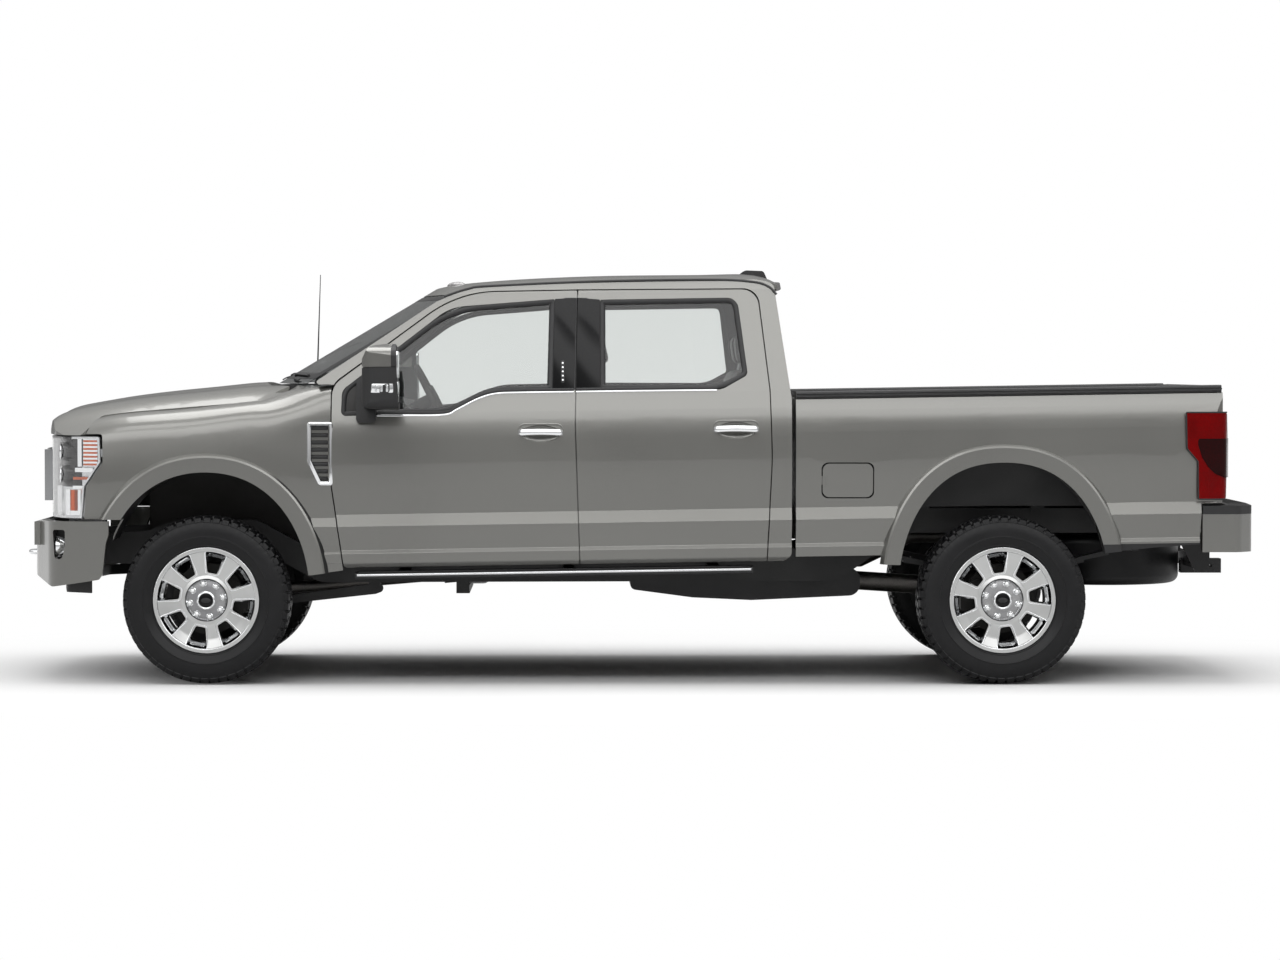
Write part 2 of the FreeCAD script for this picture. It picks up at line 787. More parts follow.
def make_headlamps():
    """Lamp housings: shells open to the front, with two projector barrels, a divider and a ribbed marker inside."""
    body = prism_xz(lamp_outline(), 500, 1200).common(prism_xy(front_corner_plan(), 700, 1400))
    hollow = prism_xz(lamp_outline(14), 500, 1200).common(prism_xy(front_corner_plan(70), 700, 1400))
    body = body.cut(hollow.common(box(2600, 3100, 500, 860, 700, 1400)))
    mouth = prism_xz(lamp_outline(12), 500, 1200)
    pocket = mouth.common(prism_xy(front_corner_plan(-20), 700, 1400)).cut(prism_xy(front_corner_plan(52), 600, 1500))
    pocket = pocket.cut(box(2500, 3200, 500, 630, 700, 1400))
    body = body.cut(pocket)
    inside = mouth.common(prism_xy(front_corner_plan(9), 700, 1400))
    barrels = []
    for z in (1186, 1068):
        barrel = rod((2880, 806, z), (2952, 806, z), 47).cut(rod((2925, 806, z), (2960, 806, z), 38))
        barrels += [barrel, rod((2900, 806, z), (2944, 806, z), 26)]
    fin = box(2828, 2836, 700, 1000, 840, 1270)
    shelf = box(2700, 2836, 700, 1000, 1132, 1140)
    ribs = [box(x, x + 4, 880, 1000, 1136, 1262) for x in range(2756, 2826, 11)]
    step = box(2830, 3100, 600, 1000, 992, 1004)
    inner = Part.makeCompound(barrels + [fin, shelf, step] + ribs).common(inside)
    tab = box(2727, 2745, 880, 920, 1160, 1200)
    lamp = fused([body, tab] + inner.Solids)
    keep("headlamps", both(max(lamp.Solids, key=lambda solid: solid.Volume)))


def bumper_plan(inset=0.0):
    return [
        (2690, 1004 - inset),
        (2800, 1000 - inset, 120),
        (2990, 930 - inset, 160),
        (3105 - inset, 640, 260),
        (3150 - inset, 350, 500),
        (3167 - inset, 0, 2500),
        (3150 - inset, -350, 500),
        (3105 - inset, -640, 260),
        (2990, -930 + inset, 160),
        (2800, -1000 + inset, 120),
        (2690, -1004 + inset),
    ]


def make_front_bumper():
    outer = prism_xy(bumper_plan(), 480, 900)
    inner = prism_xy([(p[0] - 40, *p[1:]) for p in bumper_plan(30)], 400, 1000)
    shell = outer.cut(inner)
    side_cut = prism_xz(
        [
            (2668, 834, 6),
            (3070, 830, 30),
            (3170, 800, 40),
            (3176, 700, 30),
            (3150, 560, 40),
            (2990, 496, 30),
            (2740, 536, 10),
            (2722, 560, 20),
            (2704, 720, 100),
        ],
        -1200,
        1200,
    )
    bumper = shell.common(side_cut)
    intake = prism_yz([(-430, 570, 20), (430, 570, 20), (470, 690, 30), (-470, 690, 30)], 2900, 3300, 0)
    bumper = bumper.cut(intake)
    vent = prism_xz([(2985, 788, 12), (2918, 788, 12), (2918, 700, 20), (2935, 640, 20), (2975, 636, 20)], 780, 1100)
    bumper = bumper.cut(vent).cut(mirrored(vent))
    arms = [box(3020 + seat_gap, 3070, s * rail_y - 30, s * rail_y + 30, 700, 735) for s in (-1, 1)]
    bumper = fused([bumper, box(3060, 3110, -700, 700, 700, 820)] + arms)
    keep("front_bumper", bumper)
    dam = prism_xy(
        [(2790, 900), (2930, 800, 60), (2975, 500, 60), (2975, -500, 60), (2930, -800, 60), (2790, -900)]
        + [(2790, -870), (2905, -775, 60), (2945, -480, 60), (2945, 480, 60), (2905, 775, 60), (2790, 870)],
        462,
        530,
    )
    dam = dam.common(prism_xz([(2700, 462), (2700, 530), (3100, 500), (3100, 450)], -1000, 1000))
    posts = [box(2945, 2972, s * rail_y - 25, s * rail_y + 25, 490, 590 - seat_gap) for s in (-1, 1)]
    keep("air_dam", fused([dam] + posts))


def make_tow_hooks():
    """Two forged loops that stand out of the front bumper's intake."""
    reach = front_axle_x + hook_reach
    path_y, half = 395.0, 38.0
    z = 650.0
    bar = 13.0
    leg_x = 3045.0
    bend = reach - bar - half
    legs = [rod((leg_x, path_y + s * half, z), (bend, path_y + s * half, z), bar) for s in (-1, 1)]
    arc = Part.makeTorus(half, bar, V(bend, path_y, z), V(0, 0, 1))
    arc = arc.common(box(bend, reach + 50, path_y - 100, path_y + 100, z - 50, z + 50))
    root = box(3020 + seat_gap, leg_x + 12, path_y - 60, path_y + 60, z - 26, z + 26)
    keep("tow_hooks", both(fused(legs + [arc, root])))


def rail_outline():
    """Side view of a frame rail, kicked up over both axles."""
    return [
        (3020, 590, 10),
        (3020, 740, 10),
        (2560, 760, 80),
        (2400, 820, 120),
        (1980, 820, 120),
        (1700, 668, 150),
        (-900, 668, 200),
        (-1350, 880, 150),
        (tail_x + 250, 880, 10),
        (tail_x + 250, 752, 10),
        (-1420, 752, 150),
        (-1050, 500, 200),
        (1650, 492, 150),
        (1960, 660, 120),
        (2400, 660, 120),
        (2560, 590, 80),
    ]


def make_frame():
    """Ladder frame: two kicked-up rails with their brackets, and the crossmembers seated between them."""
    left = prism_xz(rail_outline(), rail_y - rail_width / 2, rail_y + rail_width / 2)
    inner_face = rail_y - rail_width / 2
    plate_face = inner_face - 8
    inside = inner_face - seat_gap
    members = [
        box(2940, 3000, -inside, inside, 610, 720),
        box(2620, 2690, -inside, inside, 600, 655),
        box(620, 700, -inside, inside, 492, 528),
        rod((-180, -inside, 636), (-180, inside, 636), 22),
        box(-1330, -1250, -inside, inside, 790, 850),
        rod((-2120, -inside, 820), (-2120, inside, 820), 34),
        box(-2520, -2440, -inside, inside, 770, 850),
        box(tail_x + 255, tail_x + 330, -inside, inside, 770, 860),
        box(870, 940, -plate_face + seat_gap, plate_face - seat_gap, 430, 470 - seat_gap),
    ]
    carried = [
        box(870, 940, plate_face, inner_face + 1, 430, 560),
        box(front_axle_x - 66, front_axle_x + 66, rail_y + 20, 612, spring_top_z + seat_gap, spring_top_z + 26),
        box(2150, 2230, 300 + seat_gap, inner_face + 2, 700, 760),
    ]
    for x in (1350, 600, -150, -700):
        top = raked(x + 42, floor_z - floor_thickness)
        carried.append(rod((x, rail_y, 660), (x, rail_y, top - seat_gap), 42))
    for x in (-1000, -1500, -2100, -2750):
        top = raked(x + 35, bed_floor_z - bed_floor_thickness)
        low = 640 if x > -1200 else 860
        carried.append(box(x - 35, x + 35, rail_y - 45, rail_y + 45, low, top - seat_gap))
    rail = fused([left] + carried)
    members = [member.cut(rail).cut(mirrored(rail)) for member in members]
    keep("frame", Part.makeCompound([rail, mirrored(rail)] + members))


def make_bed():
    """Cargo bed: corrugated floor with headboard and wheel tubs, and two side walls."""
    x0, x1 = bed_back_x + tailgate_thickness + 12, bed_front_x
    floor = prism_yz(
        [
            (-bed_inner_y, bed_floor_z - bed_floor_thickness),
            (bed_inner_y, bed_floor_z - bed_floor_thickness),
            (bed_inner_y, bed_floor_z),
            (-bed_inner_y, bed_floor_z),
        ],
        x0,
        x1,
    )
    grooves = [
        prism_yz([(y - 28, bed_floor_z - 9), (y + 28, bed_floor_z - 9), (y + 38, bed_floor_z + 1), (y - 38, bed_floor_z + 1)], x0 - 5, x1 - 90)
        for y in [(i - 5.5) * 104 for i in range(12)]
    ]
    drain = prism_yz(
        [(-bed_inner_y, bed_floor_z - 3), (bed_inner_y, bed_floor_z - 3), (bed_inner_y, bed_floor_z + 20), (-bed_inner_y, bed_floor_z + 20)],
        x1 - 62,
        x1,
    )
    floor = floor.cut(Part.makeCompound(grooves)).cut(drain)
    head = prism_yz(
        [(-bed_inner_y, bed_floor_z - 20), (bed_inner_y, bed_floor_z - 20), (bed_inner_y, bed_top_z), (-bed_inner_y, bed_top_z)],
        x1 - 42,
        x1,
    )
    tub_size = dict(half_width=575.0, height=745.0, power=2.4)
    tub = arch_prism(rear_axle_x, y0=tub_inner_y, y1=bed_inner_y, foot=-100, **tub_size)
    tub = tub.common(box(x0, x1, 0, 1000, bed_floor_z - 6, 1400))
    well = arch_prism(rear_axle_x, y0=tub_inner_y + 12, y1=bed_inner_y + 20, inset=12, foot=-100, **tub_size)
    bed = fused([floor, head, tub, mirrored(tub)])
    bed = bed.cut(well).cut(mirrored(well))
    keep("bed_floor", bed)

    contour = [
        (side_y - 24, 640, 0),
        (side_y - 10, sill_z + 72, 5),
        (side_y - 22, sill_z + 90, 8),
        (crease_y, crease_low_z, 10),
        (crease_y - 22, crease_high_z, 8),
        (side_y + 3, 1110, 1500),
        (side_y - 6, 1330, 700),
        (belt_y + 8, bed_top_z, 6),
        (bed_inner_y + seat_gap, bed_top_z, 6),
        (bed_inner_y + seat_gap, bed_floor_z - 40, 0),
        (side_y - 70, bed_floor_z - 90, 0),
        (side_y - 70, 640, 0),
    ]
    side = prism_yz(contour, bed_back_x, bed_front_x)
    lip = flare(rear_axle_x, rear_arch, side_y - 20).common(box(-2460, -1200, 800, 1100, 600, 1400))
    side = fused([side, lip])
    side = side.cut(arch_prism(rear_axle_x, y0=500, y1=1200, **rear_arch))
    side = side.cut(
        prism_xz([(-700, 300), (-700, 630), (-1330, 612), (-2376, 672), (-2640, 700), (-2862, 716), (-2868, 926), (-3100, 926), (-3100, 300)], 500, 1200)
    )
    side = side.cut(prism_xz(tail_lamp_outline(-4), 856, 1200))
    corner = prism_xy([(bed_back_x - 50, 1100), (bed_back_x - 50, 955), (bed_back_x, 962, 60), (bed_back_x + 90, 1010), (bed_back_x + 200, 1040), (bed_back_x + 200, 1100)], 500, 1700)
    side = side.cut(corner)
    gate_slot = box(bed_back_x - 50, bed_back_x + tailgate_thickness + 12, 0, tailgate_half_width + panel_gap, 500, 1700)
    side = side.cut(gate_slot)
    post_back = bed_back_x + tailgate_thickness + 12 - seat_gap
    post_top = raked(post_back, bed_top_z)
    post = box(bed_back_x, post_back, tailgate_half_width + panel_gap, 856, 926, post_top)
    side = side.fuse(post).removeSplitter()
    right = mirrored(side)
    side = side.cut(fuel_recess())
    side = side.fuse(filler_cap())
    keep("bed_sides", Part.makeCompound([side, right]))

    cap = prism_yz(
        [
            (bed_inner_y - 12, bed_top_z + seat_gap, 0),
            (belt_y + 14, bed_top_z + seat_gap, 4),
            (belt_y + 8, bed_top_z + rail_cap_height, 12),
            (bed_inner_y - 6, bed_top_z + rail_cap_height, 12),
        ],
        bed_back_x + 6,
        bed_front_x,
    )
    keep("bed_rail_caps", both(cap))


def tail_lamp_outline(inset=0.0):
    return [
        (-2790 - inset, 1384 - inset, 10),
        (-2794 - inset, 1205, 20),
        (-2850 - inset, 1140, 20),
        (-2853 - inset, 950 + inset, 6),
        (-2996, 950 + inset, 6),
        (-3014, 1250, 60),
        (-3004, 1384 - inset, 10),
    ]


def make_tail_lamps():
    plan = [(-2700, 1100), (-2700, 800), (-3016, 800), (-3016, 900, 30), (-2990, 985, 50), (-2900, 1003, 60), (-2780, 1003)]
    lamp = prism_xz(tail_lamp_outline(), 856 + seat_gap, 1100).common(prism_xy(plan, 900, 1450))
    keep("tail_lamps", both(lamp))


fuel_door = (-1203.0, -935.0, 950.0, 1133.0)


def fuel_door_outline(inset):
    x0, x1, z0, z1 = fuel_door
    return [
        (x0 + inset, z0 + inset, 35),
        (x1 - inset, z0 + inset, 35),
        (x1 - inset, z1 - inset, 35),
        (x0 + inset, z1 - inset, 35),
    ]


def fuel_recess():
    return prism_xz(fuel_door_outline(0), side_y - 55, side_y + 60)


def filler_cap():
    x = (fuel_door[0] + fuel_door[1]) / 2
    z = (fuel_door[2] + fuel_door[3]) / 2
    return rod((x, side_y - 60, z), (x, side_y - 22, z), 36)


def make_fuel_door():
    layer = side_layer(0, 5, -1300, -850)
    skin = layer.common(prism_xz(fuel_door_outline(panel_gap), 900, 1100))
    z = (fuel_door[2] + fuel_door[3]) / 2
    arm = box(fuel_door[1] - 30, fuel_door[1] - seat_gap, 950, 980, z - 22, z + 22)
    link = box(fuel_door[1] - 30, fuel_door[1] - 14, 950, side_y - 1, z - 22, z + 22)
    keep("fuel_door", fused([skin, arm, link]))


def make_tailgate():
    """Tailgate with a rounded foot about its hinge."""
    back = bed_back_x - 6
    front = back + tailgate_thickness
    mid = (back + front) / 2
    r = tailgate_thickness / 2
    top = raked(bed_back_x, bed_top_z) + 4
    slab = box(back, front, -tailgate_half_width, tailgate_half_width, tailgate_hinge_z, top)
    foot = rod((mid, -tailgate_half_width, tailgate_hinge_z), (mid, tailgate_half_width, tailgate_hinge_z), r)
    spoiler = prism_xz([(front, top - 1), (front, top + 26, 10), (back - 10, top + 30, 10), (back - 22, top + 12, 6), (back, top - 8)], -tailgate_half_width, tailgate_half_width)
    panel = prism_yz([(-600, 1020, 40), (600, 1020, 40), (600, 1360, 40), (-600, 1360, 40)], back - 10, back + 8, 0)
    reach = tailgate_half_width + panel_gap - seat_gap
    pin = rod((mid, -reach, tailgate_hinge_z), (mid, reach, tailgate_hinge_z), 12)
    cup = prism_yz([(-120, 1376, 14), (120, 1376, 14), (120, 1424, 14), (-120, 1424, 14)], back - 10, back + 26, 0)
    pull = prism_yz([(-104, 1396, 6), (104, 1396, 6), (104, 1416, 6), (-104, 1416, 6)], back + 4, back + 30, 0)
    gate = fused([fused([slab, foot, spoiler, pin]).cut(panel).cut(cup), pull])
    keep("tailgate", gate)


def make_rear_bumper():
    plan = [
        (-2875, 985),
        (-3060, 985, 60),
        (-3140, 900, 60),
        (tail_x + 10, 560, 300),
        (tail_x, 0, 3000),
        (tail_x + 10, -560, 300),
        (-3140, -900, 60),
        (-3060, -985, 60),
        (-2875, -985),
        (-2875, -935),
        (-3010, -930, 40),
        (-3030, -700, 200),
        (-3040, 0, 3000),
        (-3030, 700, 200),
        (-3010, 930, 40),
        (-2875, 935),
    ]
    bar = prism_xy(plan, 676, 912)
    notch = prism_yz([(-150, 800, 20), (150, 800, 20), (190, 640), (-190, 640)], -3300, -2900, 0)
    bar = bar.cut(notch)
    brackets = [box(-3060, tail_x + 250 - seat_gap, s * rail_y - 30, s * rail_y + 30, 770, 850) for s in (-1, 1)]
    keep("rear_bumper", fused([bar] + brackets))


def make_hitch():
    """Receiver tube, cross tube and side plates."""
    outer, hole = 38.0, 31.75
    z = 556.0
    tube_out = box(-3140, -2925, -outer, outer, z - outer, z + outer)
    cross = box(-3000, -2935, -458, 458, z + 6, z + 72)
    plates = [
        prism_xz(
            [(-3004, z + 10, 20), (-3004, 752 - seat_gap), (-2830, 752 - seat_gap), (-2850, 700, 40), (-2930, z - 10, 20)],
            s * 452 - 7,
            s * 452 + 7,
        )
        for s in (-1, 1)
    ]
    body = fused([tube_out, cross] + plates)
    body = body.cut(box(-3200, -2880, -hole, hole, z - hole, z + hole))
    keep("hitch_receiver", body.cut(rod((-3085, -60, z), (-3085, 60, z), hitch_pin_radius)))


def wheel_profile():
    """Half section of the rim barrel, as (radius, offset from the wheel's middle, corner radius)."""
    return [
        (272, 112, 5),
        (272, 102, 4),
        (258, 100, 4),
        (252, 70, 10),
        (228, 52, 12),
        (228, -20, 12),
        (252, -44, 10),
        (258, -100, 4),
        (272, -102, 4),
        (272, -112, 5),
        (250, -108, 6),
        (244, -48, 10),
        (219, -24, 10),
        (219, 56, 10),
        (243, 78, 10),
        (248, 112, 6),
    ]


spokes = 8
spoke_phases = {"front": -12.0, "rear": 7.0}


def make_rim(centre, turn, phase):
    """Eight-spoke wheel: barrel, dished face with eight windows, hub boss and lug nuts. turn is +1 on the left side."""
    barrel = turned(wheel_profile(), (0, 0, 0))
    face_z = 78.0
    disc = turned(
        [
            (250, 104, 4),
            (250, 84, 4),
            (236, 66, 10),
            (150, 56, 10),
            (110, hub_face_out, 6),
            (40, hub_face_out, 0),
            (40, 76, 0),
            (99, 76, 5),
            (107, 90, 5),
            (128, 84, 16),
            (200, 92, 60),
        ],
        (0, 0, 0),
    )
    windows = []
    for k in range(spokes):
        angle = math.radians(phase + 360.0 / spokes * k)
        pts = [(-21, 143, 8), (21, 143, 8), (44, 238, 12), (-44, 238, 12)]

        def spin(u, v, a=angle):
            return V(u * math.cos(a) + v * math.sin(a), 0, -u * math.sin(a) + v * math.cos(a))

        wire = loop(pts, spin)
        windows.append(Part.Face(wire).extrude(V(0, 160, 0)))
        wide = loop([(-33, 131, 14), (33, 131, 14), (59, 250, 18), (-59, 250, 18)], spin)
        foot = loop([(-20, 144, 8), (20, 144, 8), (43, 237, 12), (-43, 237, 12)], spin)
        foot.translate(V(0, 76, 0))
        wide.translate(V(0, 104, 0))
        windows.append(Part.makeLoft([foot, wide], True, True))
    disc = disc.cut(Part.makeCompound(windows))
    nuts = []
    for k in range(spokes):
        a = math.radians(phase + 22.5 + 45 * k)
        x, z = 85 * math.sin(a), 85 * math.cos(a)
        nuts.append(rod((x, 70, z), (x, 98, z), 12))
    cap = turned([(0, 60, 0), (48, 60, 0), (48, 104, 6), (40, 110, 4), (0, 112, 0)], (0, 0, 0))
    wheel = fused([barrel, disc, cap] + nuts)
    if turn < 0:
        wheel = mirrored(wheel)
    wheel.translate(V(*centre))
    return wheel


def make_tyre(centre, turn):
    r, w = tyre_radius, tyre_width / 2
    tyre = turned(
        [
            (r, 0, 0),
            (r - 2, w - 34, 30),
            (r - 22, w - 12, 18),
            (r - 62, w + 1, 40),
            (r - 110, w - 1, 60),
            (284, w - 22, 20),
            (272.4, 113, 3),
            (272.4, 100, 3),
            (258.4, 98, 3),
            (252.4, 72, 10),
            (262, 66, 6),
            (300, 104, 40),
            (360, 118, 60),
            (404, 90, 40),
            (408, 0, 0),
            (404, -90, 40),
            (360, -118, 60),
            (300, -104, 40),
            (262, -62, 6),
            (258.4, -98, 3),
            (272.4, -100, 3),
            (272.4, -113, 3),
            (284, -w + 22, 20),
            (r - 110, -w + 1, 60),
            (r - 62, -w - 1, 40),
            (r - 22, -w + 12, 18),
            (r - 2, -w + 34, 30),
        ],
        (0, 0, 0),
    )
    if turn < 0:
        tyre = mirrored(tyre)
    tyre.translate(V(*centre))
    return tyre


def make_wheels():
    for name, x, track in (("front", front_axle_x, front_track), ("rear", rear_axle_x, rear_track)):
        for side, turn in (("left", 1), ("right", -1)):
            centre = (x, turn * track / 2, axle_z)
            keep(f"wheel_{name}_{side}", make_rim(centre, turn, spoke_phases[name]))
            keep(f"tyre_{name}_{side}", make_tyre(centre, turn))


def make_front_axle():
    """Front live axle: tubes, offset differential, and the forks that hold the knuckles."""
    x, z = front_axle_x, axle_z
    tube_bar = rod((x, -660, z), (x, 660, z), 44)
    diff = Part.makeSphere(138, V(x, 255, z))
    diff = diff.common(box(x - 130, x + 120, 100, 400, z - 150, z + 150))
    pinion = rod((x - 260, 255, z + 12), (x, 255, z), 52)
    forks = []
    for s in (-1, 1):
        forks.append(box(x - 40, x + 40, min(s * 640, s * 672), max(s * 640, s * 672), z - 128, z + 128))
        for h in (-128, 100):
            forks.append(box(x - 40, x + 40, min(s * 650, s * 765), max(s * 650, s * 765), z + h, z + h + 28))
    pads = [rod((x, s * 545, z + 30), (x, s * 545, z + 70), 72) for s in (-1, 1)]
    keep("front_axle", fused([tube_bar, diff, pinion] + forks + pads))


def make_front_suspension():
    """Coil springs, shock absorbers and radius arms."""
    x, z = front_axle_x, axle_z
    pieces = []
    for s in (-1, 1):
        spring = coil((x, s * 545, z + 70 + seat_gap), 52, 10, 42, 6)
        pieces.append(spring)
    for s in (-1, 1):
        across = sorted((s * (rail_y - 20), s * (rail_y + 20)))
        arm = prism_xz(
            [(x + 40, z - 70, 10), (x + 40, z - 96, 20), (1360, 430, 20), (1322, 444, 20), (1322, 474, 20), (1360, 486, 20)],
            *across,
        )
        seat_block = box(x - 40, x + 40, *across, z - 96, z - 44 - seat_gap)
        bush = box(1335, 1395, *across, 450, 492.4)
        pieces.append(fused([arm, seat_block, bush]))
    return pieces


def coil(foot, radius, wire, pitch, turns):
    """Coil spring drawn as a stack of tori joined by a core sleeve."""
    x, y, z = foot
    rings = [Part.makeTorus(radius, wire, V(x, y, z + wire + pitch * i)) for i in range(turns)]
    height = wire * 2 + pitch * (turns - 1)
    sleeve = Part.makeCylinder(radius - 2, height, V(x, y, z)).cut(
        Part.makeCylinder(radius - 8, height + 2, V(x, y, z - 1))
    )
    return fused([sleeve] + rings)


def make_knuckles():
    """Steering knuckles with hub, brake disc, caliper and steering arm."""
    x, z = front_axle_x, axle_z
    mount = front_track / 2 + hub_face_out
    body = rod((x, kingpin_y, z - 100 + seat_gap), (x, kingpin_y, z + 100 - seat_gap), 30)
    carrier = rod((x, kingpin_y + 18, z), (x, kingpin_y + 62, z), 92)
    web = box(x - 34, x + 34, kingpin_y, kingpin_y + 40, z - 96, z + 96)
    hub = rod((x, kingpin_y + 50, z), (x, mount - seat_gap, z), 74)
    disc = rod((x, kingpin_y + 74, z), (x, kingpin_y + 108, z), 182)
    caliper = prism_xz([(x - 90, z + 110, 20), (x - 205, z + 60, 30), (x - 205, z - 60, 30), (x - 90, z - 110, 20)], kingpin_y + 58, kingpin_y + 124)
    caliper = caliper.common(rod((x, kingpin_y, z), (x, kingpin_y + 200, z), 210))
    arm = prism_xy([(x - 20, kingpin_y + 20), (x + 60, kingpin_y + 40, 20), (x + steering_arm + 28, kingpin_y - 8, 20), (x + steering_arm + 10, kingpin_y - 62, 20), (x + 50, kingpin_y - 4, 20), (x, kingpin_y - 4)], z - 58, z - 34)
    knuckle = fused([body, carrier, web, hub, disc, caliper, arm])
    keep("knuckle_left", knuckle)
    keep("knuckle_right", mirrored(knuckle))


def make_tie_rod():
    """Bar between the two steering arms, hung from a ball stud at each end."""
    x, z = front_axle_x + steering_arm, axle_z - 80
    half = kingpin_y - 30
    bar = rod((x, -half - 24, z), (x, half + 24, z), 16)
    studs = [rod((x, s * half, z), (x, s * half, axle_z - 58 - seat_gap), 13) for s in (-1, 1)]
    keep("tie_rod", fused([bar] + studs))


def make_rear_axle():
    x, z = rear_axle_x, axle_z
    mount = rear_track / 2 + hub_face_out
    parts = [rod((x, -760, z), (x, 760, z), 52)]
    diff = Part.makeSphere(175, V(x, 0, z)).common(box(x - 150, x + 160, -200, 200, z - 170, z + 170))
    parts += [diff, rod((x, 0, z), (x + 250, 0, z + 18), 60)]
    for s in (-1, 1):
        parts.append(rod((x, s * 740, z), (x, s * (mount - seat_gap), z), 72))
        parts.append(rod((x, s * 782, z), (x, s * 816, z), 178))
        caliper = prism_xz([(x + 90, z + 110, 20), (x + 200, z + 60, 30), (x + 200, z - 60, 30), (x + 90, z - 110, 20)], min(s * 766, s * 832), max(s * 766, s * 832))
        parts.append(caliper)
    keep("rear_axle", fused(parts))


def make_leaf_springs():
    """Rear leaf packs with eyes, spacer block and clamp plate, outside the frame rails."""
    x, z = rear_axle_x, axle_z
    y0, y1 = rail_y + 52, rail_y + 128
    top = z + 52
    pieces = []
    pack = []
    for i, reach in enumerate((720, 600, 470, 330)):
        low = top + 66 + (3 - i) * 15
        rise = 90 * (reach / 720) ** 2
        wire = loop(
            [(x - reach, low + rise, 0), (x, low - rise, 4000), (x + reach, low + rise, 0), (x + reach, low + rise + 14, 0), (x, low - rise + 14, 4000), (x - reach, low + rise + 14, 0)],
            lambda a, b: V(a, y0, b),
        )
        pack.append(Part.Face(wire).extrude(V(0, y1 - y0, 0)))
    block = box(x - 75, x + 75, y0 - 4, y1 + 4, top + seat_gap, top + 100)
    plate = box(x - 85, x + 85, y0 - 14, y1 + 14, top + 96, top + 112)
    eyes = [rod((x + s * 735, y0, top + 66 + 45 + 96), (x + s * 735, y1, top + 66 + 45 + 96), 30) for s in (-1, 1)]
    hangers = []
    for s in (-1, 1):
        ex, ez = x + s * 735, top + 66 + 45 + 96
        hangers.append(box(ex - 30, ex + 30, rail_y + rail_width / 2 + seat_gap, y0 + 10, ez - 30, ez + 110))
    rear = fused(pack + [block, plate] + eyes + hangers)
    keep("springs", Part.makeCompound(make_front_suspension() + [rear, mirrored(rear)]))


def make_powertrain():
    """Engine as one plain block, and the gearbox with its transfer case."""
    engine = box(1760, 2560, -300, 300, 640, 1330)
    keep("engine_block", engine)
    bell = Part.makeCone(215, 150, 420, V(1760 - seat_gap, 0, 640), V(-1, 0, 0))
    tail = rod((1345, 0, 640), (940, 0, 612), 130)
    case = prism_xz([(960, 690, 30), (960, 470, 50), (760, 470, 50), (740, 680, 60)], -120, 200)
    keep("gearbox", fused([bell, tail, case]))
    rear_start, rear_end = (752, 0, 600), (rear_axle_x + 240, 0, axle_z + 18)
    front_start, front_end = (952, 150, 520), (front_axle_x - 250, 255, axle_z + 12)
    shafts = []
    for a, b, r in ((rear_start, rear_end, 50), (front_start, front_end, 30)):
        va, vb = V(*a), V(*b)
        axis = (vb - va).normalize()
        shaft = fused(
            [
                Part.makeCylinder(r, (vb - va).Length, va, axis),
                Part.makeCylinder(r + 16, 60, va, axis),
                Part.makeCylinder(r + 16, 60, vb - axis * 60, axis),
            ]
        )
        for neighbour in ("gearbox", "front_axle", "rear_axle"):
            shaft = shaft.cut(nodes[neighbour])
        shafts.append(max(shaft.Solids, key=lambda solid: solid.Volume))
    keep("driveshafts", Part.makeCompound(shafts))


def make_exhaust():
    """Pipe, silencer and tail pipe on the right, led out behind the rear wheel."""
    z = 570
    path = [(1640, -330, z), (900, -250, z), (-1230, -250, z), (-1500, -255, 700), (-1850, -330, 700)]
    path += [(-2230, -640, 700), (-2420, -715, 650)]
    pieces = [rod(a, b, 36) for a, b in zip(path, path[1:])]
    pieces += [Part.makeSphere(36, V(*p)) for p in path[1:-1]]
    pieces.append(rod((520, -250, z), (-110, -250, z), 80))
    pieces.append(box(250, 290, -(rail_y - rail_width / 2 - seat_gap), -300, z - 10, z + 10))
    keep("exhaust", fused(pieces))


def make_fuel_tank():
    tank = prism_xz(
        [(10, 602, 40), (30, 452, 30), (-300, 408, 60), (-610, 394, 60), (-1180, 420, 60), (-1180, 540, 60), (-1060, 602, 60)],
        100,
        rail_y - rail_width / 2 - seat_gap,
    )
    keep("fuel_tank", tank)


def make_spare():
    """Spare wheel slung flat under the bed, behind the axle."""
    centre = V(-2480, 0, 604)
    r, w = tyre_radius, tyre_width / 2 - 6
    ring = Part.makeCylinder(r, 2 * w, V(0, 0, -w))
    edges = [e for e in ring.Edges if isinstance(e.Curve, Part.Circle)]
    ring = ring.makeFillet(44, edges)
    ring = ring.cut(Part.makeCylinder(250, 2 * w + 10, V(0, 0, -w - 5)))
    disc = Part.makeCylinder(251, 30, V(0, 0, -10)).cut(Part.makeCylinder(60, 100, V(0, 0, -50)))
    holes = [Part.makeCylinder(32, 100, V(165 * math.cos(math.radians(a)), 165 * math.sin(math.radians(a)), -50)) for a in range(0, 360, 45)]
    spare = ring.fuse(disc.cut(Part.makeCompound(holes)))
    spare.translate(centre)
    hoist = fused([Part.makeCylinder(16, 770 - seat_gap - 580, V(centre.x, 0, 580)), Part.makeCylinder(85, 13.7, V(centre.x, 0, 580))])
    keep("spare_wheel", fused([spare, hoist]))


def make_running_boards():
    """Stowed side steps with their brackets to the sill."""
    x0, x1 = -590, 1438
    board = prism_yz([(818, 556, 8), (948, 556, 12), (948, 592, 12), (818, 592, 8)], x0, x1)
    arms = [box(x - 30, x + 30, rail_y + rail_width / 2 + seat_gap, 840, raked(x, 560), raked(x, 585)) for x in (1200, 350, -400)]
    keep("running_boards", both(fused([board] + arms)))


